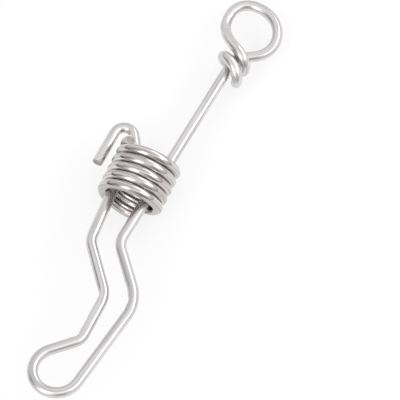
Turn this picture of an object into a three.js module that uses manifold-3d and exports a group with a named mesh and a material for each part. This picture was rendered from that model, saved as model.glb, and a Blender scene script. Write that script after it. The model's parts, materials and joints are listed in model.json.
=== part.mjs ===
// Leg ring: one spring wire bent into an eye, a shank and a leg loop, with a hook on its free
// end and a wound coil that slides over both legs to lock it. Millimetres, Z up.
// The bent wire is drawn flat: X across from the shank's middle line, Y along it towards the eye.
// The last lines set the ring down as it lies on a table, on its coil and its wrap.

import * as THREE from 'three';
import { mergeVertices } from 'three/addons/utils/BufferGeometryUtils.js';
import Module from 'manifold-3d';

// Wire and clearances
const WIRE = 2.0;
const WIRE_SIDES = 10;
const WIRE_STEP = 1.0;
const RUNNING_GAP = 0.3;

// Eye, and the neck where the wire comes back over itself
const EYE_LEFT = 5.3;
const EYE_LEFT_RISE = 0.55;
const EYE_LEFT_BEND = 3.4;
const EYE_TOP = 4.85;
const EYE_TOP_OUT = 2.45;
const EYE_TOP_BEND = 5.5;
const EYE_SHOULDER = 2.5;
const EYE_SHOULDER_OUT = 6.6;
const EYE_SHOULDER_BEND = 4.6;
const NECK = 7.3;
const NECK_BEND = 1.6;
const NECK_LEAD_OUT = 3.8;
const NECK_LEAD_IN = 2.3;

// Wrap of the wire's end round the shank
const WRAP_GAP = 0.28;
const WRAP_SHIFT = 0.3;
const WRAP_BELOW_NECK = 0.1;
const WRAP_PITCH = 2.9;
const WRAP_SKEW = 0.85;
const WRAP_TAIL = 0.5;
const WRAP_START = THREE.MathUtils.degToRad(-90);
const WRAP_END = THREE.MathUtils.degToRad(375);

// Shank, right leg and the round of the leg loop
const SHANK = 52.0;
const JOG_BEND = 4.5;
const RIGHT_KNEE_OUT = 8.65;
const RIGHT_KNEE_BELOW_SHANK = 9.13;
const RIGHT_KNEE_BEND = 7.7;
const LOOP_BORE = 6.64;
const LOOP_OUT = 2.8;
const LOOP_BELOW_HEEL = 7.28;
const SPLIT_GAP = 0.4;

// Left leg, from the coil down to the round, kinked beside the right leg
const COIL_ENTRY_BEND = 10.0;
const SHOULDER_OUT = -4.8;
const SHOULDER_BELOW_SHANK = 2.05;
const SHOULDER_BEND = 4.0;
const LEFT_KNEE_OUT = 3.05;
const LEFT_KNEE_BELOW_SHOULDER = 8.57;
const LEFT_KNEE_BEND = 5.2;
const HEEL_OUT = 3.6;
const HEEL_BELOW_KNEE = 9.78;
const HEEL_BEND = 2.7;

// Lock coil
const COIL_BORE = 9.5;
const COIL_WIRE = 1.45;
const COIL_PITCH = 1.88;
const COIL_START = THREE.MathUtils.degToRad(80);
const COIL_TURNS = 5.378;
const COIL_TAIL = 0.5;
const COIL_STEPS_A_TURN = 24;
const COIL_SIDES = 6;
const COIL_DROP = 32.85;
const COIL_LEAN = THREE.MathUtils.degToRad(2.5);
const COIL_TILT = THREE.MathUtils.degToRad(4.2);
const COIL_FLAT = 0.5;

// Hook over the coil's upper rim
const HOOK_LEAD = -1.2;
const HOOK_BEND = 1.9;
const HOOK_SLANT = THREE.MathUtils.degToRad(33.5);
const HOOK_TIP_CLEARANCE = 1.5;
const HOOK_TIP = 6.05;

// Finish
const WIRE_COLOUR = 0xd2d1cd;
const WIRE_ROUGHNESS = 0.18;
const COIL_COLOUR = 0xc8c7c3;
const COIL_ROUGHNESS = 0.2;

// Sizes that follow from the ones above
const wireRadius = WIRE / 2;
const loopRadius = (LOOP_BORE + WIRE) / 2;
const wrapRadius = WIRE + WRAP_GAP + WRAP_SHIFT;
const coilRadius = (COIL_BORE + COIL_WIRE) / 2;
const coilOuterRadius = COIL_BORE / 2 + COIL_WIRE;
const coilRise = COIL_TURNS * COIL_PITCH;
const coilLength = coilRise + COIL_WIRE;
const coilDepth = coilOuterRadius * Math.cos(COIL_TILT) + coilRise / 2 * Math.sin(COIL_TILT);
const coilHeight = coilDepth - COIL_FLAT;
const coilMiddle = -COIL_DROP - coilLength / 2 * Math.cos(COIL_LEAN);
const hookReach = RUNNING_GAP + COIL_WIRE + HOOK_TIP_CLEARANCE + WIRE;
const rightKneeDrop = SHANK + RIGHT_KNEE_BELOW_SHANK;
const shoulderDrop = SHANK + SHOULDER_BELOW_SHANK;
const leftKneeDrop = shoulderDrop + LEFT_KNEE_BELOW_SHOULDER;
const heelDrop = leftKneeDrop + HEEL_BELOW_KNEE;
const loopCentre = new THREE.Vector3(LOOP_OUT, -heelDrop - LOOP_BELOW_HEEL, 0);
const splitAngle = -Math.PI / 2;
const splitHalfAngle = SPLIT_GAP / 2 / loopRadius;

// The bent wire dips from the coil's middle until the underside of its wrap meets the table.
const wrapDepth = wrapRadius + wireRadius;
const wrapReach = -NECK - WRAP_BELOW_NECK - WRAP_PITCH / 4 - coilMiddle;
const wireDip = Math.asin(coilHeight / Math.hypot(wrapReach, wrapDepth)) - Math.atan2(wrapDepth, wrapReach);

// Both wires lie against the bore's sides, and pass its rims this far above or below the axis.
const rimOffset = coilLength / 2 * Math.sin(COIL_TILT + wireDip);
const wireToAxis = Math.sqrt((COIL_BORE / 2 - wireRadius - RUNNING_GAP) ** 2 - rimOffset ** 2);
const coilCentre = new THREE.Vector3(
  -wireToAxis + coilLength / 2 * Math.sin(COIL_LEAN),
  coilMiddle,
  0,
);

const { Manifold, Mesh: ManifoldMesh } = await loadManifold();

async function loadManifold() {
  const wasm = await Module();
  wasm.setup();
  return wasm;
}

// A round bend in the wire plane, between two angles about a centre.
class Bend extends THREE.Curve {
  constructor(centre, radius, from, to) {
    super();
    Object.assign(this, { centre, radius, from, to });
  }

  getPoint(t, target = new THREE.Vector3()) {
    const angle = THREE.MathUtils.lerp(this.from, this.to, t);
    return target
      .set(Math.cos(angle), Math.sin(angle), 0)
      .multiplyScalar(this.radius)
      .add(this.centre);
  }
}

// The wire's end wound round the shank: right, beneath, left, over, at a skew. Past the top of its
// last turn it runs out along the shank.
class Wrap extends THREE.Curve {
  getPoint(t, target = new THREE.Vector3()) {
    const lastTop = 1.5 * Math.PI;
    const angle = THREE.MathUtils.lerp(WRAP_START, WRAP_END, t);
    const runOut = WRAP_TAIL * (Math.max(0, angle - lastTop) / (WRAP_END - lastTop)) ** 2;
    const climb = WRAP_PITCH * angle / (2 * Math.PI) + WRAP_SKEW * Math.cos(angle);
    return target.set(
      WRAP_SHIFT + wrapRadius * Math.cos(angle),
      -NECK - WRAP_BELOW_NECK - climb - runOut,
      -wrapRadius * Math.sin(angle),
    );
  }
}

// The lock coil's turns: a right-handed helix that climbs along Y.
class Winding extends THREE.Curve {
  getPoint(t, target = new THREE.Vector3()) {
    const angle = COIL_START + 2 * Math.PI * COIL_TURNS * t;
    return target.set(
      coilRadius * Math.cos(angle),
      coilRise * (t - 0.5),
      -coilRadius * Math.sin(angle),
    );
  }
}

// A wire that runs straight between corners and turns each one at its own radius.
// Each corner is { at, bend }, and the two ends need no bend.
function bentRuns(corners) {
  const runs = [];
  let start = corners[0].at;
  for (let i = 1; i < corners.length - 1; i += 1) {
    const { at, bend } = corners[i];
    const into = at.clone().sub(corners[i - 1].at).normalize();
    const out = corners[i + 1].at.clone().sub(at).normalize();
    const turn = Math.atan2(into.x * out.y - into.y * out.x, into.dot(out));
    const setback = bend * Math.tan(Math.abs(turn) / 2);
    const bendStart = at.clone().addScaledVector(into, -setback);
    const side = Math.sign(turn);
    const centre = bendStart.clone().add(new THREE.Vector3(-into.y, into.x, 0).multiplyScalar(side * bend));
    const from = Math.atan2(bendStart.y - centre.y, bendStart.x - centre.x);
    runs.push(new THREE.LineCurve3(start, bendStart));
    runs.push(new Bend(centre, bend, from, from + turn));
    start = at.clone().addScaledVector(out, setback);
  }
  runs.push(new THREE.LineCurve3(start, corners.at(-1).at));
  return runs;
}

// Where a straight run from a point touches the leg loop's round, and its angle there.
function loopTangent(point, side) {
  const reach = point.clone().sub(loopCentre);
  const angle = Math.atan2(reach.y, reach.x) + side * Math.acos(loopRadius / reach.length());
  return { angle, at: new Bend(loopCentre, loopRadius, angle, angle).getPoint(0) };
}

function joinRuns(runs) {
  const lengthDivisions = 2000;
  const path = new THREE.CurvePath();
  for (const run of runs) {
    path.add(run);
  }
  path.arcLengthDivisions = lengthDivisions;
  return path;
}

// A tube with flat cut ends along a path.
function tube(path, diameter, sides, steps) {
  const section = [];
  for (let i = 0; i < sides; i += 1) {
    const angle = 2 * Math.PI * i / sides;
    section.push(new THREE.Vector2(Math.cos(angle), Math.sin(angle)).multiplyScalar(diameter / 2));
  }
  const extruded = new THREE.ExtrudeGeometry(new THREE.Shape(section), { steps, extrudePath: path });
  extruded.deleteAttribute('normal');
  extruded.deleteAttribute('uv');
  return mergeVertices(extruded);
}

// The least clear distance between stretches of one wire that lie apart along it.
function leastGap(path, diameter) {
  const pointsADiameter = 8;
  const diametersApart = 3;
  const points = path.getSpacedPoints(Math.round(path.getLength() / diameter * pointsADiameter));
  const apart = Math.round(diametersApart * pointsADiameter);
  let least = Infinity;
  for (let i = 0; i < points.length; i += 1) {
    for (let j = i + apart; j < points.length; j += 1) {
      least = Math.min(least, points[i].distanceTo(points[j]));
    }
  }
  return least - diameter;
}

function toSolid(geometry) {
  return new Manifold(new ManifoldMesh({
    numProp: 3,
    vertProperties: geometry.attributes.position.array,
    triVerts: new Uint32Array(geometry.index.array),
  }));
}

function toGeometry(solid) {
  const { vertProperties, triVerts } = solid.getMesh();
  const geometry = new THREE.BufferGeometry();
  geometry.setAttribute('position', new THREE.BufferAttribute(vertProperties, 3));
  geometry.setIndex(new THREE.BufferAttribute(triVerts, 1));
  return geometry;
}

function steelPiece(name, geometry, colour, roughness) {
  geometry.computeVertexNormals();
  const steel = new THREE.MeshStandardMaterial({ color: colour, roughness, metalness: 1 });
  const piece = new THREE.Mesh(geometry, steel);
  piece.name = name;
  return piece;
}

function corner(x, y, bend) {
  return { at: new THREE.Vector3(x, y, 0), bend };
}

// Wrap, eye, shank, right leg and the right half of the loop's round: one unbroken wire.
function framePath() {
  const wrap = new Wrap();
  const wrapTop = wrap.getPoint(0);
  const wrapHeading = wrap.getTangent(0);
  const eyeLeft = corner(-EYE_LEFT, EYE_LEFT_RISE);
  const overShank = new THREE.CubicBezierCurve3(
    eyeLeft.at,
    eyeLeft.at.clone().add(new THREE.Vector3(0, -NECK_LEAD_OUT, 0)),
    wrapTop.clone().addScaledVector(wrapHeading, -NECK_LEAD_IN),
    wrapTop,
  );
  const rightKnee = corner(RIGHT_KNEE_OUT, -rightKneeDrop, RIGHT_KNEE_BEND);
  const loopStart = loopTangent(rightKnee.at, -1);
  const eyeAndLeg = bentRuns([
    eyeLeft,
    corner(-EYE_LEFT, EYE_TOP, EYE_LEFT_BEND),
    corner(EYE_TOP_OUT, EYE_TOP, EYE_TOP_BEND),
    corner(EYE_SHOULDER_OUT, -EYE_SHOULDER, EYE_SHOULDER_BEND),
    corner(0, -NECK, NECK_BEND),
    corner(0, -SHANK, JOG_BEND),
    rightKnee,
    { at: loopStart.at },
  ]);
  const roundToSplit = new Bend(loopCentre, loopRadius, loopStart.angle, splitAngle + splitHalfAngle);
  return joinRuns([reversed(wrap), reversed(overShank), ...eyeAndLeg, roundToSplit]);
}

// The same curve followed from its other end.
function reversed(curve) {
  const back = new THREE.Curve();
  back.getPoint = (t, target) => curve.getPoint(1 - t, target);
  return back;
}

// Left half of the loop's round, left leg and the hook on its end.
function hookLegPath() {
  const lean = new THREE.Vector3(-Math.sin(COIL_LEAN), Math.cos(COIL_LEAN), 0);
  const across = new THREE.Vector3(-lean.y, lean.x, 0);
  const atCoilTop = new THREE.Vector3(-2 * wireToAxis, -COIL_DROP, 0);
  const atCoilFoot = atCoilTop.clone().addScaledVector(lean, -coilLength);
  const hookArm = atCoilTop.clone().addScaledVector(across, hookReach);
  const shoulderRise = HOOK_LEAD + HOOK_BEND * Math.tan(HOOK_SLANT / 2);
  const crownRise = shoulderRise + hookReach / Math.tan(HOOK_SLANT);
  const heel = corner(HEEL_OUT, -heelDrop, HEEL_BEND);
  const loopEnd = loopTangent(heel.at, 1);
  const legAndHook = bentRuns([
    { at: loopEnd.at },
    heel,
    corner(LEFT_KNEE_OUT, -leftKneeDrop, LEFT_KNEE_BEND),
    corner(SHOULDER_OUT, -shoulderDrop, SHOULDER_BEND),
    { at: atCoilFoot, bend: COIL_ENTRY_BEND },
    { at: atCoilTop.clone().addScaledVector(lean, shoulderRise), bend: HOOK_BEND },
    { at: hookArm.clone().addScaledVector(lean, crownRise), bend: HOOK_BEND },
    { at: hookArm.clone().addScaledVector(lean, -HOOK_TIP) },
  ]);
  const roundFromSplit = new Bend(
    loopCentre,
    loopRadius,
    splitAngle - splitHalfAngle,
    loopEnd.angle - 2 * Math.PI,
  );
  return joinRuns([roundFromSplit, ...legAndHook]);
}

// The coil's turns, with each cut end run out straight for a short tail.
function coilPath() {
  const winding = new Winding();
  const foot = winding.getPoint(0);
  const head = winding.getPoint(1);
  const footEnd = foot.clone().addScaledVector(winding.getTangent(0), -COIL_TAIL);
  const headEnd = head.clone().addScaledVector(winding.getTangent(1), COIL_TAIL);
  return joinRuns([
    new THREE.LineCurve3(footEnd, foot),
    winding,
    new THREE.LineCurve3(head, headEnd),
  ]);
}

// The lying coil is flat where it bears on the table.
function cutFlat(geometry) {
  const side = 2 * (coilLength + coilOuterRadius);
  const floor = new THREE.BoxGeometry(side, side, side);
  floor.translate(0, 0, -coilHeight - side / 2);
  floor.deleteAttribute('normal');
  floor.deleteAttribute('uv');
  return toGeometry(toSolid(geometry).subtract(toSolid(mergeVertices(floor))));
}

function wirePiece(name, path) {
  console.log(`${name} least gap to itself ${leastGap(path, WIRE).toFixed(2)} mm`);
  const steps = Math.round(path.getLength() / WIRE_STEP);
  return steelPiece(name, tube(path, WIRE, WIRE_SIDES, steps), WIRE_COLOUR, WIRE_ROUGHNESS);
}

function lockCoil() {
  const path = coilPath();
  console.log(`lock_coil least gap to itself ${leastGap(path, COIL_WIRE).toFixed(2)} mm`);
  const steps = Math.round(COIL_STEPS_A_TURN * path.getLength() / new Winding().getLength() * COIL_TURNS);
  const turns = tube(path, COIL_WIRE, COIL_SIDES, steps);
  turns.rotateX(COIL_TILT).rotateZ(COIL_LEAN);
  return steelPiece('lock_coil', cutFlat(turns), COIL_COLOUR, COIL_ROUGHNESS);
}

// The bent wire turns about the coil's middle, which is the ring's own centre for now.
const bentWire = new THREE.Group();
bentWire.add(wirePiece('frame_wire', framePath()));
bentWire.add(wirePiece('hook_leg', hookLegPath()));
for (const piece of bentWire.children) {
  piece.position.copy(coilCentre).negate();
}
bentWire.rotation.x = -wireDip;

const ring = new THREE.Group();
ring.add(bentWire);
ring.add(lockCoil());

// Set the ring on the table, with the middle of its box over the origin.
const extent = new THREE.Box3().setFromObject(ring, true);
const middle = extent.getCenter(new THREE.Vector3());
ring.position.set(-middle.x, -middle.y, -extent.min.z);

export default ring;
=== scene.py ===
"""Leg ring of polished spring wire: eye, shank, leg loop and hook, locked by a sliding coil.

The bent wire is drawn in millimetres in its own plane: X across from the shank's middle line,
Y along it towards the eye, Z up out of the plane. WirePlane carries it into the frame.
"""

import json
import logging
import math
from collections.abc import Callable, Sequence
from dataclasses import dataclass, field
from enum import Enum
from typing import Protocol

import bpy
from mathutils import Matrix, Vector

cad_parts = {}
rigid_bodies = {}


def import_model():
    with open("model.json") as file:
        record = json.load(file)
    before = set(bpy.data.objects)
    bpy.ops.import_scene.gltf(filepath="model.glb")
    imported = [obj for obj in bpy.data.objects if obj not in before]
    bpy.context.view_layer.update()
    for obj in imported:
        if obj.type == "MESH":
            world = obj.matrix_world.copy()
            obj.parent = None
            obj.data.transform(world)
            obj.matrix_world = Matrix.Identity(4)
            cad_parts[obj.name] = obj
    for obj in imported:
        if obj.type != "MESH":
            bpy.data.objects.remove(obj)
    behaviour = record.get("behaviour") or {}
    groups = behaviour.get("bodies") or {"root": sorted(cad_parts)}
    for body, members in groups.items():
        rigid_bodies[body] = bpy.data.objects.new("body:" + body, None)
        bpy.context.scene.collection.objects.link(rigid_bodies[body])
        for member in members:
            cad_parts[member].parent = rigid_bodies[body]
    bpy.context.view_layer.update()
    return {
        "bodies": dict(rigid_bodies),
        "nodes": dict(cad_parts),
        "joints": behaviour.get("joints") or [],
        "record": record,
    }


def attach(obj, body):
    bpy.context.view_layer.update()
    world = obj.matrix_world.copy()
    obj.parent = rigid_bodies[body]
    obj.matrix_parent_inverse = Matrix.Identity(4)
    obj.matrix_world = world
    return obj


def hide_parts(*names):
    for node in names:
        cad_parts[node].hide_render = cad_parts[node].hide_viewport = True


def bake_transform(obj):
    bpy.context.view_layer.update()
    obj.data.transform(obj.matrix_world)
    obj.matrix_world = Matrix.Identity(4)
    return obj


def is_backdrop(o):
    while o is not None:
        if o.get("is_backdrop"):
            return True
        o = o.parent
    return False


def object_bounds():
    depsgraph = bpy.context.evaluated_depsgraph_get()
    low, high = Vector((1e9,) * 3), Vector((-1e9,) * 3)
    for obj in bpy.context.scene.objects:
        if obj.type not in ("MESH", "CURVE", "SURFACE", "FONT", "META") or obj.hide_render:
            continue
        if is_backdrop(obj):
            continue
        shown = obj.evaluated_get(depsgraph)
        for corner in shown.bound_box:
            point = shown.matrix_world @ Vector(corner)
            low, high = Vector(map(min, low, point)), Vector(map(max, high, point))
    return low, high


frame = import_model()

Socket = bpy.types.NodeSocket
Colour = tuple[float, float, float]
Span = tuple[float, float]

LOG = logging.getLogger("leg_ring")
MM = 0.001
UP = Vector((0.0, 0.0, 1.0))
NONE_TO_ALL: Span = (0.0, 1.0)

# The step in t over which a curve's heading is taken, and the bend below which a wire is straight.
HEADING_STEP = 1e-4
LEAST_BEND = 1e-6

# The mesh attributes that the materials read.
LAY = "wire_lay"
STRETCH = "bend_stretch"
# Painted shade: this attribute darkens the colour where a winding's turns face each other.
PAINTED_CREVICE_SHADE = "painted_crevice_shade"

# How squarely a surface faces the next turn where the painted shade between a winding's turns starts,
# and where it is full.
PAINTED_SHADE_SPAN: Span = (0.7, 1.0)

# A sheared end's broken edge, ring by ring: millimetres past the last point, share of the radius.
BROKEN_EDGE = ((0.012, 0.992), (0.03, 0.972), (0.042, 0.94), (0.046, 0.9))

# A domed end's rings, in degrees up the dome, and its reach as a share of the radius.
DOME_ANGLES = (10, 20, 30, 40, 50, 60, 70, 78, 85)
DOME_REACH = 0.62


def smooth_rise(value: float, low: float, high: float) -> float:
    """Rises smoothly from 0 to 1 as a value passes from low to high.

    Args:
        value: The number to place between the two limits.
        low: Where the rise starts.
        high: Where it ends.

    Returns:
        A number from 0 to 1.
    """
    share = min(max((value - low) / (high - low), 0.0), 1.0)
    return share * share * (3.0 - 2.0 * share)


class WireEnd(Enum):
    """How a length of wire ends."""

    SHEARED = "cut flat by shears, its edge broken"
    ROUNDED = "tumbled to a dome"
    SEAM = "runs on into the next length"


class Run(Protocol):
    """A stretch of a wire's middle line, followed from t = 0 to t = 1."""

    def length(self) -> float:
        """The stretch's length in millimetres."""

    def at(self, t: float) -> Vector:
        """The point at t."""


@dataclass(frozen=True)
class Straight:
    """A straight stretch between two points."""

    first: Vector
    last: Vector

    def length(self) -> float:
        """The stretch's length in millimetres."""
        return (self.last - self.first).length

    def at(self, t: float) -> Vector:
        """The point at t."""
        return self.first.lerp(self.last, t)


@dataclass(frozen=True)
class Bend:
    """A round bend in the wire plane, between two angles about a centre."""

    centre: Vector
    radius: float
    first: float
    last: float

    def length(self) -> float:
        """The bend's length in millimetres."""
        return self.radius * abs(self.last - self.first)

    def at(self, t: float) -> Vector:
        """The point at t."""
        angle = self.first + (self.last - self.first) * t
        return self.centre + self.radius * Vector((math.cos(angle), math.sin(angle), 0.0))

    def middle(self) -> Vector:
        """The bend's middle point."""
        return self.at(0.5)


@dataclass(frozen=True)
class FreeCurve:
    """A curve that a function of t gives."""

    shape: Callable[[float], Vector]
    chords: int = 64

    def length(self) -> float:
        """The curve's length in millimetres, over its chords."""
        points = [self.shape(i / self.chords) for i in range(self.chords + 1)]
        return sum((b - a).length for a, b in zip(points, points[1:]))

    def at(self, t: float) -> Vector:
        """The point at t."""
        return self.shape(t)


@dataclass(frozen=True)
class Corner:
    """A place where the wire turns from one straight run into the next."""

    at: Vector
    bend: float = 0.0


def bent_runs(corners: Sequence[Corner]) -> list[Run]:
    """Runs straight between corners and turns each one at its own radius.

    Args:
        corners: The corners in order; the first and the last are the ends.

    Returns:
        The straight runs and bends in order.
    """
    runs: list[Run] = []
    start = corners[0].at
    for before, corner, after in zip(corners, corners[1:], corners[2:]):
        into = (corner.at - before.at).normalized()
        out = (after.at - corner.at).normalized()
        turn = math.atan2(into.x * out.y - into.y * out.x, into.dot(out))
        setback = corner.bend * math.tan(abs(turn) / 2)
        bend_start = corner.at - into * setback
        inward = Vector((-into.y, into.x, 0.0)) * math.copysign(corner.bend, turn)
        centre = bend_start + inward
        first = math.atan2(-inward.y, -inward.x)
        runs += [Straight(start, bend_start), Bend(centre, corner.bend, first, first + turn)]
        start = corner.at + out * setback
    runs.append(Straight(start, corners[-1].at))
    return runs


@dataclass
class MiddleLine:
    """A wire's middle line as points, with a heading, a side and a bend at each."""

    points: list[Vector]
    headings: list[Vector]
    sides: list[Vector]
    distances: list[float]
    bends: list[Vector]
    run_ends: list[int]

    @classmethod
    def along(cls, runs: Sequence[Run], step: float) -> "MiddleLine":
        """Follows runs end to end in short steps.

        Args:
            runs: The runs in order, each starting where the last one ends.
            step: The longest step in millimetres.

        Returns:
            The middle line.
        """
        points = [runs[0].at(0.0)]
        run_ends = []
        for run in runs:
            steps = math.ceil(run.length() / step)
            points += [run.at((i + 1) / steps) for i in range(steps)]
            run_ends.append(len(points) - 1)
        chords = [b - a for a, b in zip(points, points[1:])]
        ways = [chord.normalized() for chord in chords]
        headings = [(a + b).normalized() for a, b in zip(ways[:1] + ways, ways + ways[-1:])]
        distances = [0.0]
        for chord in chords:
            distances.append(distances[-1] + chord.length)
        sides = [(UP - headings[0] * UP.dot(headings[0])).normalized()]
        for before, after in zip(headings, headings[1:]):
            sides.append(before.rotation_difference(after) @ sides[-1])
        bends = cls.eased_bends(headings, distances)
        return cls(points, headings, sides, distances, bends, run_ends)

    @staticmethod
    def eased_bends(headings: list[Vector], distances: list[float], passes: int = 6) -> list[Vector]:
        """Finds the bend at each point and eases it into the straights.

        Args:
            headings: The heading at each point.
            distances: How far along the wire each point lies.
            passes: How many times neighbouring values are averaged.

        Returns:
            Vectors towards each bend's centre, as long as one over its radius.
        """
        last = len(headings) - 1
        around = [(max(i - 1, 0), min(i + 1, last)) for i in range(last + 1)]
        bends = [(headings[j] - headings[i]) / (distances[j] - distances[i]) for i, j in around]
        for _ in range(passes):
            bends = [(bends[i] + 2.0 * bend + bends[j]) / 4.0 for (i, j), bend in zip(around, bends)]
        return bends

    def part(self, first: int, last: int) -> "MiddleLine":
        """The stretch between two points, both included."""
        lists = (self.points, self.headings, self.sides, self.distances, self.bends)
        return MiddleLine(*(values[first:last + 1] for values in lists), run_ends=[])


@dataclass(frozen=True)
class ToolMark:
    """A shallow flat left on the wire by a bending tool, on the side that it is towards."""

    at: Vector
    towards: Vector
    length: float = 1.4
    depth: float = 0.06
    spread: float = 0.55
    squareness: int = 4

    def depth_at(self, point: Vector, outward: Vector) -> float:
        """How deep the mark is at a place on the wire.

        Args:
            point: A point on the wire's middle line.
            outward: The direction from there to the surface.

        Returns:
            The depth in millimetres.
        """
        along = math.exp(-((point - self.at).length / self.length) ** self.squareness)
        facing = smooth_rise(outward.dot(self.towards.normalized()), self.spread, 1.0)
        return self.depth * along * facing


@dataclass(frozen=True)
class WireStock:
    """Round wire as it is bent: its size, and how finely its mesh follows it."""

    diameter: float
    sides: int
    step: float
    flattening: float = 0.07

    def radius(self) -> float:
        """Half the diameter."""
        return self.diameter / 2

    def end_rings(self, end: WireEnd) -> list[tuple[float, float]]:
        """The rings that close an end.

        Args:
            end: How the wire ends.

        Returns:
            For each ring, how far it lies beyond the last point and its share of the radius.
        """
        if end is WireEnd.SHEARED:
            return list(BROKEN_EDGE)
        if end is WireEnd.ROUNDED:
            dome = [math.radians(angle) for angle in DOME_ANGLES]
            reach = self.radius() * DOME_REACH
            return [(reach * math.sin(angle), math.cos(angle)) for angle in dome]
        return []


@dataclass
class WireMesh:
    """The surface of one length of wire, gathered ring by ring. A winding also has its axis, which
    places the painted shade between its turns.
    """

    stock: WireStock
    line: MiddleLine
    marks: Sequence[ToolMark] = ()
    axis: Vector | None = None
    vertices: list[Vector] = field(default_factory=list)
    lays: list[Vector] = field(default_factory=list)
    stretches: list[float] = field(default_factory=list)
    painted_crevice_shades: list[float] = field(default_factory=list)
    faces: list[tuple[int, ...]] = field(default_factory=list)
    cut_faces: set[int] = field(default_factory=set)

    def add_ring(self, i: int, beyond: float = 0.0, share: float = 1.0) -> None:
        """Adds a ring of points round the middle line.

        Args:
            i: The index of the point on the middle line.
            beyond: How far past that point the ring lies, along the heading.
            share: The ring's share of the wire's radius.
        """
        point, heading = self.line.points[i], self.line.headings[i]
        side = self.line.sides[i]
        cross = heading.cross(side)
        bend = self.line.bends[i] * self.stock.radius()
        tightness = bend.length
        inward = bend.normalized() if tightness > LEAST_BEND else side
        for j in range(self.stock.sides):
            angle = 2 * math.pi * j / self.stock.sides
            outward = side * math.cos(angle) + cross * math.sin(angle)
            lean = outward.dot(inward)
            oval = 1.0 + self.stock.flattening * tightness * (0.5 - lean * lean)
            dent = sum(mark.depth_at(point, outward) for mark in self.marks)
            reach = (self.stock.radius() * oval - dent) * share
            self.vertices.append(point + heading * beyond + outward * reach)
            lay = self.line.distances[i] + beyond
            self.lays.append(Vector((math.cos(angle), math.sin(angle), lay / self.stock.diameter)))
            self.stretches.append(-lean * tightness)
            # Painted shade: how squarely this point faces the next turn of a winding sets how much shade
            # is painted there.
            beside = abs(outward.dot(self.axis)) if self.axis else 0.0
            self.painted_crevice_shades.append(smooth_rise(beside, *PAINTED_SHADE_SPAN))

    def join_rings(self) -> None:
        """Joins the last two rings with faces."""
        sides = self.stock.sides
        second = len(self.vertices) - sides
        first = second - sides
        for j in range(sides):
            k = (j + 1) % sides
            self.faces.append((first + j, first + k, second + k, second + j))

    def close(self, ring: int, forwards: bool, cut: bool) -> None:
        """Closes a ring with one face.

        Args:
            ring: The index of the ring's first vertex.
            forwards: Whether the face looks along the heading.
            cut: Whether it is a bare sheared face.
        """
        corners = list(range(ring, ring + self.stock.sides))
        if cut:
            self.cut_faces.add(len(self.faces))
        self.faces.append(tuple(corners if forwards else reversed(corners)))

    def build(self, first: WireEnd, last: WireEnd) -> None:
        """Makes the whole surface.

        Args:
            first: How the wire starts.
            last: How it ends.
        """
        rings = [(0, -beyond, share) for beyond, share in reversed(self.stock.end_rings(first))]
        rings += [(i, 0.0, 1.0) for i in range(len(self.line.points))]
        final = len(self.line.points) - 1
        rings += [(final, beyond, share) for beyond, share in self.stock.end_rings(last)]
        for count, (i, beyond, share) in enumerate(rings):
            self.add_ring(i, beyond, share)
            if count:
                self.join_rings()
        self.close(0, False, first is WireEnd.SHEARED)
        self.close(len(self.vertices) - self.stock.sides, True, last is WireEnd.SHEARED)

    def to_object(self, name: str, place: Matrix) -> bpy.types.Object:
        """Turns the surface into a mesh object in the frame.

        Args:
            name: The piece's name.
            place: Carries millimetres in the wire plane to metres in the frame.

        Returns:
            The object, linked to the scene.
        """
        mesh = bpy.data.meshes.new(name)
        mesh.from_pydata([place @ vertex for vertex in self.vertices], [], self.faces)
        lay = mesh.attributes.new(LAY, "FLOAT_VECTOR", "POINT")
        lay.data.foreach_set("vector", [value for vector in self.lays for value in vector])
        # Stretch from bending, and the painted shade between a winding's turns.
        for attribute, values in ((STRETCH, self.stretches), (PAINTED_CREVICE_SHADE, self.painted_crevice_shades)):
            mesh.attributes.new(attribute, "FLOAT", "POINT").data.foreach_set("value", values)
        caps = set()
        for polygon in mesh.polygons:
            polygon.use_smooth = len(polygon.vertices) < self.stock.sides
            polygon.material_index = int(polygon.index in self.cut_faces)
            if not polygon.use_smooth:
                caps.update(polygon.edge_keys)
        for edge in mesh.edges:
            edge.use_edge_sharp = edge.key in caps
        mesh.update()
        piece = bpy.data.objects.new(name, mesh)
        bpy.context.scene.collection.objects.link(piece)
        return piece


@dataclass(frozen=True)
class WirePlane:
    """The plane that the bent wire lies in, with its origin on the shank's middle line."""

    origin: Vector
    across: Vector
    along: Vector
    up: Vector

    @classmethod
    def from_frame(cls, packed: dict, eye_x: float, eye_y: float) -> "WirePlane":
        """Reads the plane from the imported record.

        Args:
            eye_x: How far across from the shank's middle line the eye's centre lies.
            eye_y: How far along that line it lies from the plane's origin.

        Returns:
            The plane through the eye, along the coil's slide.
        """
        mounts = packed["record"]["mounts"]
        eye = next(mount for mount in mounts if mount["name"] == "eye")
        slide = next(joint for joint in packed["joints"] if joint["name"] == "coil_slide")
        along = Vector(slide["axis"]).normalized()
        up = Vector(eye["axis"]).normalized()
        across = along.cross(up)
        origin = Vector(eye["pos_m"]) - (across * eye_x + along * eye_y) * MM
        return cls(origin, across, along, up)

    def turned(self) -> Matrix:
        """The plane's turn in the frame."""
        return Matrix((self.across, self.along, self.up)).transposed()

    def to_frame(self) -> Matrix:
        """Carries millimetres in the plane to metres in the frame."""
        return Matrix.Translation(self.origin) @ self.turned().to_4x4() @ Matrix.Scale(MM, 4)


@dataclass(frozen=True)
class Pattern:
    """Noise that is drawn out: how many features it has along each axis, and its finer layers."""

    features: tuple[float, float, float]
    detail: float


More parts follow.
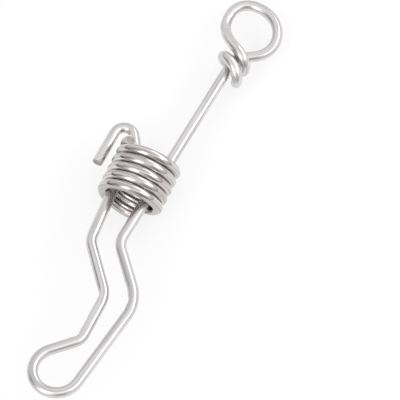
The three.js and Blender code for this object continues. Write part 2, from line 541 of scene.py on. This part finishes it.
class NodeSheet:
    """A node tree under construction, with short ways to add and join nodes."""

    def __init__(self, tree: bpy.types.NodeTree) -> None:
        """Empties the tree.

        Args:
            tree: The material's or world's node tree.
        """
        self.tree = tree
        tree.nodes.clear()

    def add(self, kind: str, inputs: dict | None = None, **settings: object) -> bpy.types.Node:
        """Adds a node.

        Args:
            kind: The node's type, without its ShaderNode prefix.
            inputs: Values or output sockets for its inputs, by name or index.
            **settings: Properties to set on the node.

        Returns:
            The new node.
        """
        node = self.tree.nodes.new("ShaderNode" + kind)
        for key, value in settings.items():
            setattr(node, key, value)
        for key, value in (inputs or {}).items():
            if isinstance(value, Socket):
                self.tree.links.new(value, node.inputs[key])
            else:
                node.inputs[key].default_value = value
        return node

    def maths(self, operation: str, *values: object) -> Socket:
        """Adds a Math node.

        Args:
            operation: What it does.
            *values: Its inputs in order.

        Returns:
            Its output.
        """
        return self.add("Math", dict(enumerate(values)), operation=operation).outputs[0]

    def vectors(self, operation: str, *values: object) -> Socket:
        """Adds a Vector Math node.

        Args:
            operation: What it does.
            *values: Its inputs in order.

        Returns:
            Its output, which is a number for a dot product.
        """
        node = self.add("VectorMath", dict(enumerate(values)), operation=operation)
        return node.outputs["Value" if operation == "DOT_PRODUCT" else "Vector"]

    def between(self, value: Socket, given: Span, wanted: Span) -> Socket:
        """Maps a value from one range to another and holds it there.

        Args:
            value: The value to map.
            given: The range that it is mapped from.
            wanted: What the two ends of that range become.

        Returns:
            The mapped value.
        """
        inputs = {"Value": value, 1: given[0], 2: given[1], 3: wanted[0], 4: wanted[1]}
        return self.add("MapRange", inputs).outputs[0]

    def noise(self, source: Socket, pattern: Pattern) -> Socket:
        """Adds noise that is drawn out along its axes.

        Args:
            source: The coordinates.
            pattern: The noise's features and layers.

        Returns:
            The noise, from 0 to 1.
        """
        scaled = self.vectors("MULTIPLY", source, pattern.features)
        inputs = {"Vector": scaled, "Scale": 1.0, "Detail": pattern.detail}
        return self.add("TexNoise", inputs).outputs[0]

    def blend_colours(self, share: Socket, first: Colour | Socket, second: Colour | Socket) -> Socket:
        """Mixes two colours by a share.

        Args:
            share: How much of the second colour shows.
            first: The first colour, linear, or a socket.
            second: The second colour, linear, or a socket.

        Returns:
            The mixed colour.
        """
        node = self.add("Mix", data_type="RGBA")
        self.tree.links.new(share, node.inputs["Factor"])
        for socket, colour in zip([s for s in node.inputs if s.type == "RGBA"], (first, second)):
            if isinstance(colour, Socket):
                self.tree.links.new(colour, socket)
            else:
                socket.default_value = (*colour, 1.0)
        return next(s for s in node.outputs if s.type == "RGBA")

    def bump(self, height: Socket, strength: float, depth: float, under: Socket | None = None) -> Socket:
        """Adds a Bump node.

        Args:
            height: The height, from 0 to 1.
            strength: How much of the bump shows.
            depth: How deep it is, in millimetres.
            under: The normal that it is laid over, if any.

        Returns:
            The bumped normal.
        """
        inputs = {"Height": height, "Strength": strength, "Distance": depth * MM}
        if under is not None:
            inputs["Normal"] = under
        return self.add("Bump", inputs).outputs[0]

    def metal(self, colour: Socket, rough: Socket, normal: Socket) -> None:
        """Ends a material's tree in bare metal.

        Args:
            colour: Its colour.
            rough: Its roughness.
            normal: Its normal.
        """
        inputs = {"Base Color": colour, "Metallic": 1.0, "Roughness": rough, "Normal": normal}
        surface = self.add("BsdfPrincipled", inputs)
        self.add("OutputMaterial", {"Surface": surface.outputs[0]})


# Patterns on a drawn wire: round it on a circle of radius 1, and along it by the diameter.
DIE_LINES = Pattern((7.0, 7.0, 0.09), 3.0)
WAVES = Pattern((0.9, 0.9, 0.5), 1.0)
SMEARS = Pattern((1.6, 1.6, 0.6), 3.0)
STREAKS = Pattern((2.2, 2.2, 0.12), 2.0)
PEEL = Pattern((6.0, 6.0, 6.0), 2.0)

# Patterns on a cut face, by the metre.
GRAIN = Pattern((9000.0, 9000.0, 9000.0), 4.0)
TEARS = Pattern((900.0, 2600.0, 900.0), 1.0)


@dataclass(frozen=True)
class DrawnSteel:
    """Bright drawn wire: lengthwise die lines and streaks, a haze, marks from bending and painted shade
    where a winding's turns face each other.

    Depths are in millimetres. A span says between which values a pattern comes in.
    """

    name: str
    bright: Colour
    dull: Colour
    crevice_shade_colour: Colour
    polish: float
    haze: float
    line_depth: float
    line_strength: float = 0.3
    line_span: Span = (0.35, 0.7)
    smear_span: Span = (0.4, 0.75)
    streak_span: Span = (0.42, 0.62)
    worked_span: Span = (0.1, 0.6)
    wave_depth: float = 0.08
    wave_strength: float = 0.1
    peel_share: float = 0.6

    def material(self) -> bpy.types.Material:
        """Builds the node material.

        Returns:
            The material.
        """
        steel = bpy.data.materials.new(self.name)
        steel.use_nodes = True
        sheet = NodeSheet(steel.node_tree)
        lay = sheet.add("Attribute", attribute_name=LAY).outputs["Vector"]
        stretch = sheet.add("Attribute", attribute_name=STRETCH).outputs["Fac"]
        painted_crevice_shade = sheet.add("Attribute", attribute_name=PAINTED_CREVICE_SHADE).outputs["Fac"]
        die_lines = sheet.noise(lay, DIE_LINES)

        hazed = (0.0, self.haze)
        worked = sheet.between(sheet.maths("ABSOLUTE", stretch), self.worked_span, NONE_TO_ALL)
        lined = sheet.between(die_lines, self.line_span, hazed)
        smeared = sheet.between(sheet.noise(lay, SMEARS), self.smear_span, hazed)
        peeled = sheet.maths("MULTIPLY", worked, self.haze)
        rough = sheet.maths("ADD", lined, smeared)
        rough = sheet.maths("ADD", rough, peeled)
        rough = sheet.maths("ADD", rough, self.polish)

        tone = sheet.between(sheet.noise(lay, STREAKS), self.streak_span, NONE_TO_ALL)
        colour = sheet.blend_colours(tone, self.bright, self.dull)
        # Painted shade: darkens the colour where a winding's turns face each other.
        colour = sheet.blend_colours(painted_crevice_shade, colour, self.crevice_shade_colour)

        wavy = sheet.bump(sheet.noise(lay, WAVES), self.wave_strength, self.wave_depth)
        pitted = sheet.maths("MULTIPLY", sheet.noise(lay, PEEL), worked)
        pitted = sheet.maths("MULTIPLY", pitted, self.peel_share)
        height = sheet.maths("ADD", pitted, die_lines)
        normal = sheet.bump(height, self.line_strength, self.line_depth, under=wavy)
        sheet.metal(colour, rough, normal)
        return steel


@dataclass(frozen=True)
class ShearedSteel:
    """A bare cut face: torn grain, with brighter smears across it. Its depth is in millimetres."""

    name: str
    torn: Colour
    smeared: Colour
    roughness: Span
    tear_span: Span = (0.4, 0.6)
    grain_span: Span = (0.3, 0.7)
    grain_depth: float = 0.03
    grain_strength: float = 0.5

    def material(self) -> bpy.types.Material:
        """Builds the node material.

        Returns:
            The material.
        """
        steel = bpy.data.materials.new(self.name)
        steel.use_nodes = True
        sheet = NodeSheet(steel.node_tree)
        spot = sheet.add("TexCoord").outputs["Object"]
        grain = sheet.noise(spot, GRAIN)
        smear = sheet.between(sheet.noise(spot, TEARS), self.tear_span, NONE_TO_ALL)
        colour = sheet.blend_colours(smear, self.torn, self.smeared)
        rough = sheet.between(grain, self.grain_span, self.roughness)
        normal = sheet.bump(grain, self.grain_strength, self.grain_depth)
        sheet.metal(colour, rough, normal)
        return steel


SPRING_STEEL = DrawnSteel(
    name="bright_spring_wire",
    bright=(0.75, 0.738, 0.735),
    dull=(0.57, 0.556, 0.554),
    # Colour of the painted shade between turns; the bent wire has no winding, so it does not show.
    crevice_shade_colour=(0.5, 0.48, 0.46),
    polish=0.22,
    haze=0.07,
    line_depth=0.004,
)
COIL_STEEL = DrawnSteel(
    name="bright_coil_wire",
    bright=(0.72, 0.687, 0.679),
    dull=(0.48, 0.443, 0.432),
    # Colour of the painted shade between the coil's turns.
    crevice_shade_colour=(0.52, 0.48, 0.465),
    polish=0.11,
    haze=0.06,
    line_depth=0.005,
)
CUT_STEEL = ShearedSteel(
    name="sheared_wire_end",
    torn=(0.26, 0.245, 0.235),
    smeared=(0.42, 0.405, 0.395),
    roughness=(0.4, 0.55),
)


def dress(piece: bpy.types.Object, finish: DrawnSteel, cut: ShearedSteel) -> None:
    """Gives a piece its drawn finish and the finish of its sheared faces.

    Args:
        piece: The piece to dress.
        finish: The finish of the drawn surface.
        cut: The finish of the cut faces.
    """
    for steel in (finish, cut):
        made = bpy.data.materials.get(steel.name) or steel.material()
        piece.data.materials.append(made)


@dataclass
class LockCoil:
    """The wound coil that slides over both legs, lying at a tilt round them.

    Lengths are in millimetres. The drop is from the wire plane's origin down to the coil's top. The
    solid coil is wound from thinner wire, which is why its length takes that wire's size.
    """

    plane: WirePlane
    stock: WireStock = WireStock(diameter=1.87, sides=28, step=0.22, flattening=0.03)
    solid_wire: float = 1.45
    outer: float = 12.5
    pitch: float = 1.88
    turns: float = 5.378
    start: float = math.radians(80)
    tail: float = 0.5
    chords: int = 400
    drop: float = 32.85
    lean: float = math.radians(2.5)
    tilt: float = math.radians(4.2)
    leg_to_axis: float = 3.333

    def radius(self) -> float:
        """The radius of the turns' middle line."""
        return (self.outer - self.stock.diameter) / 2

    def rise(self) -> float:
        """How far the winding climbs along its axis."""
        return self.turns * self.pitch

    def length(self) -> float:
        """The solid coil's length along its axis."""
        return self.rise() + self.solid_wire

    def place(self) -> Matrix:
        """Carries the coil's own millimetres to metres in the frame."""
        half = self.length() / 2
        across = half * math.sin(self.lean) - self.leg_to_axis
        along = -self.drop - half * math.cos(self.lean)
        centre = self.plane.to_frame() @ Vector((across, along, 0.0))
        turn = Matrix.Rotation(self.lean, 4, "Z") @ Matrix.Rotation(self.tilt, 4, "X")
        return Matrix.Translation(centre) @ turn @ Matrix.Scale(MM, 4)

    def winding(self, t: float) -> Vector:
        """A point on the winding, from its foot at t = 0 to its head at t = 1."""
        angle = self.start + 2 * math.pi * self.turns * t
        across = self.radius() * Vector((math.cos(angle), 0.0, -math.sin(angle)))
        return across + Vector((0.0, self.rise() * (t - 0.5), 0.0))

    def runs(self) -> list[Run]:
        """The winding, with each cut end run out straight.

        Returns:
            The runs in order.
        """
        foot, head = self.winding(0.0), self.winding(1.0)
        foot_way = (self.winding(HEADING_STEP) - foot).normalized()
        head_way = (head - self.winding(1.0 - HEADING_STEP)).normalized()
        return [
            Straight(foot - foot_way * self.tail, foot),
            FreeCurve(self.winding, self.chords),
            Straight(head, head + head_way * self.tail),
        ]

    def build(self) -> list[bpy.types.Object]:
        """Makes the coil and lets it ride on its body.

        Returns:
            The pieces.
        """
        line = MiddleLine.along(self.runs(), self.stock.step)
        # The winding's axis tells where its turns face each other, for the painted shade there.
        surface = WireMesh(self.stock, line, axis=Vector((0.0, 1.0, 0.0)))
        surface.build(WireEnd.SHEARED, WireEnd.SHEARED)
        coil = surface.to_object("lock_coil_winding", self.place())
        dress(coil, COIL_STEEL, CUT_STEEL)
        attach(coil, "lock_coil")
        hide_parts("lock_coil")
        return [coil]


@dataclass
class BentWire:
    """The spring wire: wrap, eye, shank, both legs, the round between them and the hook.

    Lengths are in millimetres in the wire plane. An x is across from the shank's middle line, and a
    drop is from the plane's origin down along it. The eye's x and y are its mount's middle.
    """

    plane: WirePlane
    coil: LockCoil
    stock: WireStock = WireStock(diameter=2.0, sides=40, step=0.2)
    eye_x: float = -0.2
    eye_y: float = -0.24
    eye_left: float = 5.3
    eye_left_rise: float = 0.7
    eye_left_bend: float = 3.65
    eye_top: float = 4.9
    eye_top_x: float = 4.15
    eye_top_bend: float = 6.2
    eye_shoulder: float = 3.35
    eye_shoulder_x: float = 5.6
    eye_shoulder_bend: float = 4.9
    neck: float = 7.3
    neck_bend: float = 1.6
    neck_lead_out: float = 4.0
    neck_lead_in: float = 2.3
    wrap_gap: float = 0.05
    wrap_shift: float = 0.3
    wrap_below_neck: float = 0.1
    wrap_pitch: float = 2.9
    wrap_skew: float = 0.85
    wrap_tail: float = 0.5
    wrap_first: float = -math.pi / 2
    wrap_last: float = math.radians(375)
    shank: float = 52.0
    jog_bend: float = 4.5
    right_knee_x: float = 8.65
    right_knee_drop: float = 61.13
    right_knee_bend: float = 7.7
    loop_radius: float = 4.32
    loop_x: float = 2.8
    loop_drop: float = 79.68
    heel_x: float = 3.6
    heel_drop: float = 72.4
    heel_bend: float = 2.7
    left_knee_x: float = 3.05
    left_knee_drop: float = 62.62
    left_knee_bend: float = 5.2
    shoulder_x: float = -4.8
    shoulder_drop: float = 54.05
    shoulder_bend: float = 4.0
    coil_entry_bend: float = 10.0
    hook_reach: float = 5.25
    hook_lead: float = -1.2
    hook_bend: float = 1.9
    hook_slant: float = math.radians(33.5)
    hook_tip: float = 6.05
    seam_above_round: float = 3.0
    seam_below_heel: float = 2.0
    spring_share: float = 0.965
    kink_t: float = 0.42
    heel_mark_in: float = 0.2
    heel_mark_rise: float = 3.4

    def wrap(self, t: float) -> Vector:
        """A point on the wrap, from the top of the shank at t = 0 to the wire's end at t = 1."""
        angle = self.wrap_first + (self.wrap_last - self.wrap_first) * t
        radius = self.stock.diameter + self.wrap_gap + self.wrap_shift
        last_top = 1.5 * math.pi
        run_out = max(0.0, angle - last_top) / (self.wrap_last - last_top)
        climb = self.wrap_pitch * angle / (2 * math.pi) + self.wrap_skew * math.cos(angle)
        climb += self.wrap_tail * run_out * run_out
        return Vector((
            self.wrap_shift + radius * math.cos(angle),
            -self.neck - self.wrap_below_neck - climb,
            -radius * math.sin(angle),
        ))

    def eye_side(self) -> Vector:
        """Where the eye's left side turns over the shank."""
        return Vector((-self.eye_left, self.eye_left_rise, 0.0))

    def over_shank(self, t: float) -> Vector:
        """A point on the curve from the eye's left side to the top of the wrap."""
        top = self.wrap(0.0)
        heading = (self.wrap(HEADING_STEP) - top).normalized()
        left = self.eye_side()
        first_pull = left - Vector((0.0, self.neck_lead_out, 0.0))
        last_pull = top - heading * self.neck_lead_in
        back = 1.0 - t
        return (
            left * back**3
            + first_pull * (3 * back * back * t)
            + last_pull * (3 * back * t * t)
            + top * t**3
        )

    def loop_centre(self) -> Vector:
        """The centre of the leg loop's round."""
        return Vector((self.loop_x, -self.loop_drop, 0.0))

    def loop_tangent(self, point: Vector, side: int) -> float:
        """Finds where a straight run from a point touches the round.

        Args:
            point: The point that the run comes from.
            side: Which of the two tangents, 1 or -1.

        Returns:
            The angle of the touching point about the round's centre.
        """
        reach = point - self.loop_centre()
        return math.atan2(reach.y, reach.x) + side * math.acos(self.loop_radius / reach.length)

    def on_loop(self, angle: float) -> Vector:
        """The point of the round at an angle."""
        return Bend(self.loop_centre(), self.loop_radius, angle, angle).at(0.0)

    def right_knee(self) -> Corner:
        """The corner where the right leg turns down to the round."""
        return Corner(Vector((self.right_knee_x, -self.right_knee_drop, 0.0)), self.right_knee_bend)

    def heel(self) -> Corner:
        """The corner where the left leg leaves the round."""
        return Corner(Vector((self.heel_x, -self.heel_drop, 0.0)), self.heel_bend)

    def right_seam(self) -> Vector:
        """Where the eye's length of wire hands over to the round, on the right leg."""
        touch = self.on_loop(self.loop_tangent(self.right_knee().at, -1))
        way = (self.right_knee().at - touch).normalized()
        return touch + way * self.seam_above_round

    def left_seam(self) -> Vector:
        """Where the round hands over to the hook's length of wire, below the heel."""
        touch = self.on_loop(self.loop_tangent(self.heel().at, 1))
        way = (self.heel().at - touch).normalized()
        return touch + way * self.seam_below_heel

    def eye_runs(self) -> list[Run]:
        """Wrap, eye, shank and right leg.

        Returns:
            The runs in order, from the wire's end.
        """
        corners = [
            Corner(self.eye_side()),
            Corner(Vector((-self.eye_left, self.eye_top, 0.0)), self.eye_left_bend),
            Corner(Vector((self.eye_top_x, self.eye_top, 0.0)), self.eye_top_bend),
            Corner(Vector((self.eye_shoulder_x, -self.eye_shoulder, 0.0)), self.eye_shoulder_bend),
            Corner(Vector((0.0, -self.neck, 0.0)), self.neck_bend),
            Corner(Vector((0.0, -self.shank, 0.0)), self.jog_bend),
            self.right_knee(),
            Corner(self.right_seam()),
        ]
        return [
            FreeCurve(lambda t: self.wrap(1.0 - t)),
            FreeCurve(lambda t: self.over_shank(1.0 - t)),
            *bent_runs(corners),
        ]

    def round_runs(self) -> list[Run]:
        """The round at the end of the leg loop, with a straight lead at each side.

        Returns:
            The runs in order, from the right leg to the left.
        """
        first = self.loop_tangent(self.right_knee().at, -1)
        last = self.loop_tangent(self.heel().at, 1) - 2 * math.pi
        return [
            Straight(self.right_seam(), self.on_loop(first)),
            Bend(self.loop_centre(), self.loop_radius, first, last),
            Straight(self.on_loop(last), self.left_seam()),
        ]

    def leg_runs(self) -> list[Run]:
        """The left leg and the hook on its end.

        Returns:
            The runs in order, from the round.
        """
        lean = Vector((-math.sin(self.coil.lean), math.cos(self.coil.lean), 0.0))
        across = Vector((-lean.y, lean.x, 0.0))
        coil_top = Vector((-2 * self.coil.leg_to_axis, -self.coil.drop, 0.0))
        hook_arm = coil_top + across * self.hook_reach
        shoulder_rise = self.hook_lead + self.hook_bend * math.tan(self.hook_slant / 2)
        crown_rise = shoulder_rise + self.hook_reach / math.tan(self.hook_slant)
        return bent_runs([
            Corner(self.left_seam()),
            self.heel(),
            Corner(Vector((self.left_knee_x, -self.left_knee_drop, 0.0)), self.left_knee_bend),
            Corner(Vector((self.shoulder_x, -self.shoulder_drop, 0.0)), self.shoulder_bend),
            Corner(coil_top - lean * self.coil.length(), self.coil_entry_bend),
            Corner(coil_top + lean * shoulder_rise, self.hook_bend),
            Corner(hook_arm + lean * crown_rise, self.hook_bend),
            Corner(hook_arm - lean * self.hook_tip),
        ])

    @staticmethod
    def bends(runs: Sequence[Run]) -> list[Bend]:
        """The round bends among runs, in order."""
        return [run for run in runs if isinstance(run, Bend)]

    def marks(self) -> list[ToolMark]:
        """The flats that the bending tools left.

        Returns:
            The marks.
        """
        right_knee = self.bends(self.eye_runs())[-1]
        heel, left_knee = self.bends(self.leg_runs())[:2]
        kink = self.over_shank(self.kink_t)
        above_heel = self.heel().at + Vector((-self.heel_mark_in, self.heel_mark_rise, 0.0))
        marks = [
            ToolMark(kink, towards=Vector((0.8, 0.6, 0.0)), length=0.45, depth=0.1),
            ToolMark(kink, towards=Vector((-0.75, -0.4, 0.5)), length=0.8, depth=0.08),
            ToolMark(above_heel, towards=Vector((-0.75, 0.0, 0.65)), length=1.2),
        ]
        for bend in (right_knee, heel, left_knee):
            inward = bend.centre - bend.middle()
            marks.append(ToolMark(bend.middle(), towards=inward, length=0.8, depth=0.14))
        return marks

    def length_of_wire(
        self,
        name: str,
        line: MiddleLine,
        first: WireEnd,
        last: WireEnd,
    ) -> bpy.types.Object:
        """Makes one length of the wire.

        Args:
            name: The piece's name.
            line: Its middle line.
            first: How it starts.
            last: How it ends.

        Returns:
            The dressed piece.
        """
        surface = WireMesh(self.stock, line, marks=self.marks())
        surface.build(first, last)
        piece = surface.to_object(name, self.plane.to_frame())
        dress(piece, SPRING_STEEL, CUT_STEEL)
        return piece

    def build(self) -> list[bpy.types.Object]:
        """Makes the three lengths of the wire and sets what the eye's and the hook's lengths ride on;
        the loop's length is only baked into the frame.

        Returns:
            The pieces.
        """
        eye_runs, round_runs, leg_runs = self.eye_runs(), self.round_runs(), self.leg_runs()
        line = MiddleLine.along([*eye_runs, *round_runs, *leg_runs], self.stock.step)
        right = line.run_ends[len(eye_runs) - 1]
        left = line.run_ends[len(eye_runs) + len(round_runs) - 1]
        tip = len(line.points) - 1

        eye_line = line.part(0, right)
        eye = self.length_of_wire("eye_and_shank_wire", eye_line, WireEnd.ROUNDED, WireEnd.SEAM)
        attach(eye, "wire_frame")
        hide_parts("frame_wire")

        loop_line = line.part(right, left)
        spring = self.length_of_wire("leg_loop_wire", loop_line, WireEnd.SEAM, WireEnd.SEAM)
        place = self.plane.to_frame()
        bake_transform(spring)

        leg_line = line.part(left, tip)
        leg = self.length_of_wire("hook_leg_wire", leg_line, WireEnd.SEAM, WireEnd.SHEARED)
        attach(leg, "hook_leg")
        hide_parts("hook_leg")
        return [eye, spring, leg]


@dataclass(frozen=True)
class Panel:
    """A soft-edged panel of the surround, brighter or darker than the rest. Angles are in degrees."""

    azimuth: float
    elevation: float
    half_width: float
    half_height: float
    strength: float
    edge: float = 8.0

    def level(self, sheet: NodeSheet, direction: Socket) -> Socket:
        """How much the panel adds in a direction.

        Args:
            sheet: The world's nodes.
            direction: The direction looked in.

        Returns:
            The added brightness.
        """
        turn = math.radians(self.azimuth)
        middle = (math.cos(turn), math.sin(turn), 0.0)
        flattened = sheet.vectors("MULTIPLY", direction, (1.0, 1.0, 0.0))
        facing = sheet.vectors("DOT_PRODUCT", sheet.vectors("NORMALIZE", flattened), middle)
        aside = sheet.maths("DEGREES", sheet.maths("ARCCOSINE", facing))
        height = sheet.add("SeparateXYZ", {0: direction}).outputs["Z"]
        raised = sheet.maths("DEGREES", sheet.maths("ARCSINE", height))
        above = sheet.maths("ABSOLUTE", sheet.maths("SUBTRACT", raised, self.elevation))
        level = self.strength
        for off, half in ((aside, self.half_width), (above, self.half_height)):
            inside = sheet.between(off, (half - self.edge, half + self.edge), (1.0, 0.0))
            level = sheet.maths("MULTIPLY", inside, level)
        return level


@dataclass(frozen=True)
class SoftBox:
    """A soft lamp: where it hangs, how it is turned, its sides and distance in metres, its watts."""

    name: str
    towards: tuple[float, float, float]
    along: tuple[float, float, float]
    length: float
    width: float
    power: float
    distance: float = 1.0


@dataclass
class Studio:
    """A white floor, a pale surround, soft lamps and the camera.

    The floor's size is in metres. The camera's distance, aim, lens and sensor are in millimetres, and
    its aim, back and right lie in the wire plane's axes.
    """

    plane: WirePlane
    floor_size: float = 3.0
    floor_white: float = 0.73
    floor_tint: float = 0.25
    surround_level: float = 1.14
    horizon_level: float = 0.35
    horizon_height: float = 0.22
    panels: tuple[Panel, ...] = (
        Panel(-50.0, 15.0, 20.0, 28.0, -0.55),
        Panel(-38.0, 60.0, 34.0, 14.0, 0.5),
        Panel(-152.0, 18.0, 20.0, 26.0, -0.6),
    )
    lamps: tuple[SoftBox, ...] = (
        SoftBox("right_lamp", (0.75, 0.243, 0.616), (-0.034, 0.942, -0.331), 0.9, 0.42, 1.7),
        SoftBox("back_lamp", (0.318, 0.786, 0.53), (-0.93, 0.37, 0.0), 0.8, 0.42, 1.6),
        SoftBox("front_lamp", (-0.177, -0.768, 0.616), (0.97, -0.22, 0.0), 0.42, 0.9, 2.0),
    )
    distance: float = 520.0
    lens: float = 257.4
    sensor: float = 36.0
    aim: tuple[float, float] = (8.67, -37.3)
    back: tuple[float, float, float] = (0.2355, -0.441, 0.866)
    right: tuple[float, float, float] = (0.882, 0.471, 0.0)

    def seen_directly(self, sheet: NodeSheet) -> Socket:
        """One for rays from the camera, off metal or through glass, and zero for the rest."""
        path = sheet.add("LightPath")
        seen = sheet.maths("MAXIMUM", path.outputs["Is Camera Ray"], path.outputs["Is Glossy Ray"])
        return sheet.maths("MAXIMUM", seen, path.outputs["Is Transmission Ray"])

    def floor(self) -> None:
        """Lays the floor under the lowest point of the pieces."""
        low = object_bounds()[0].z
        half = self.floor_size / 2
        mesh = bpy.data.meshes.new("studio_floor")
        corners = [(-half, -half, low), (half, -half, low), (half, half, low), (-half, half, low)]
        mesh.from_pydata(corners, [], [(0, 1, 2, 3)])
        floor = bpy.data.objects.new("studio_floor", mesh)
        bpy.context.scene.collection.objects.link(floor)
        paper = bpy.data.materials.new("white_paper")
        paper.use_nodes = True
        sheet = NodeSheet(paper.node_tree)
        strength = sheet.maths("MULTIPLY", self.seen_directly(sheet), self.floor_white)
        glow = sheet.add("Emission", {"Strength": strength})
        tint = self.floor_tint
        matt = sheet.add("BsdfDiffuse", {"Color": (tint, tint, tint, 1.0)})
        both = sheet.add("AddShader", {0: glow.outputs[0], 1: matt.outputs[0]})
        sheet.add("OutputMaterial", {"Surface": both.outputs[0]})
        mesh.materials.append(paper)
        floor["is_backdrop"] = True

    def surround(self) -> None:
        """Makes the surround: dim low down and pale above, with its panels."""
        world = bpy.data.worlds.new("studio_surround")
        world.use_nodes = True
        bpy.context.scene.world = world
        sheet = NodeSheet(world.node_tree)
        direction = sheet.add("TexCoord").outputs["Generated"]
        height = sheet.add("SeparateXYZ", {0: direction}).outputs["Z"]
        levels = (self.horizon_level, self.surround_level)
        level = sheet.between(height, (0.0, self.horizon_height), levels)
        for panel in self.panels:
            level = sheet.maths("ADD", level, panel.level(sheet, direction))
        shown = sheet.add("Background", {"Strength": level})
        sheet.add("OutputWorld", {"Surface": shown.outputs[0]})

    def hang(self, lamp: SoftBox) -> None:
        """Hangs a soft box so that it faces the object.

        Args:
            lamp: The soft box.
        """
        light = bpy.data.lights.new(lamp.name, "AREA")
        light.shape = "RECTANGLE"
        light.size, light.size_y = lamp.length, lamp.width
        light.energy = lamp.power
        away = Vector(lamp.towards).normalized()
        along = Vector(lamp.along)
        along = (along - away * along.dot(away)).normalized()
        turn = Matrix((along, away.cross(along), away)).transposed()
        box = bpy.data.objects.new(lamp.name, light)
        box.matrix_world = Matrix.Translation(away * lamp.distance) @ turn.to_4x4()
        bpy.context.scene.collection.objects.link(box)

    def camera(self) -> None:
        """Sets the camera at the photograph's angle."""
        back = Vector(self.back).normalized()
        right = Vector(self.right)
        right = (right - back * right.dot(back)).normalized()
        turn = self.plane.turned() @ Matrix((right, back.cross(right), back)).transposed()
        data = bpy.data.cameras.new("photo_camera")
        data.lens = self.lens
        data.sensor_width = self.sensor
        camera = bpy.data.objects.new("photo_camera", data)
        spot = Vector((*self.aim, 0.0)) + back * self.distance
        camera.matrix_world = Matrix.Translation(self.plane.to_frame() @ spot) @ turn.to_4x4()
        bpy.context.scene.collection.objects.link(camera)
        bpy.context.scene.camera = camera

    def build(self) -> None:
        """Makes the floor, the surround, the lamps and the camera."""
        self.floor()
        self.surround()
        for lamp in self.lamps:
            self.hang(lamp)
        self.camera()
        bpy.context.scene.view_settings.view_transform = "Standard"


def main() -> None:
    """Builds the ring and its studio."""
    logging.basicConfig(level=logging.INFO, format="%(name)s: %(message)s")
    plane = WirePlane.from_frame(frame, BentWire.eye_x, BentWire.eye_y)
    coil = LockCoil(plane)
    for assembly in (BentWire(plane, coil), coil):
        for piece in assembly.build():
            LOG.info("%s has %d faces", piece.name, len(piece.data.polygons))
    Studio(plane).build()


if __name__ == "__main__":
    main()
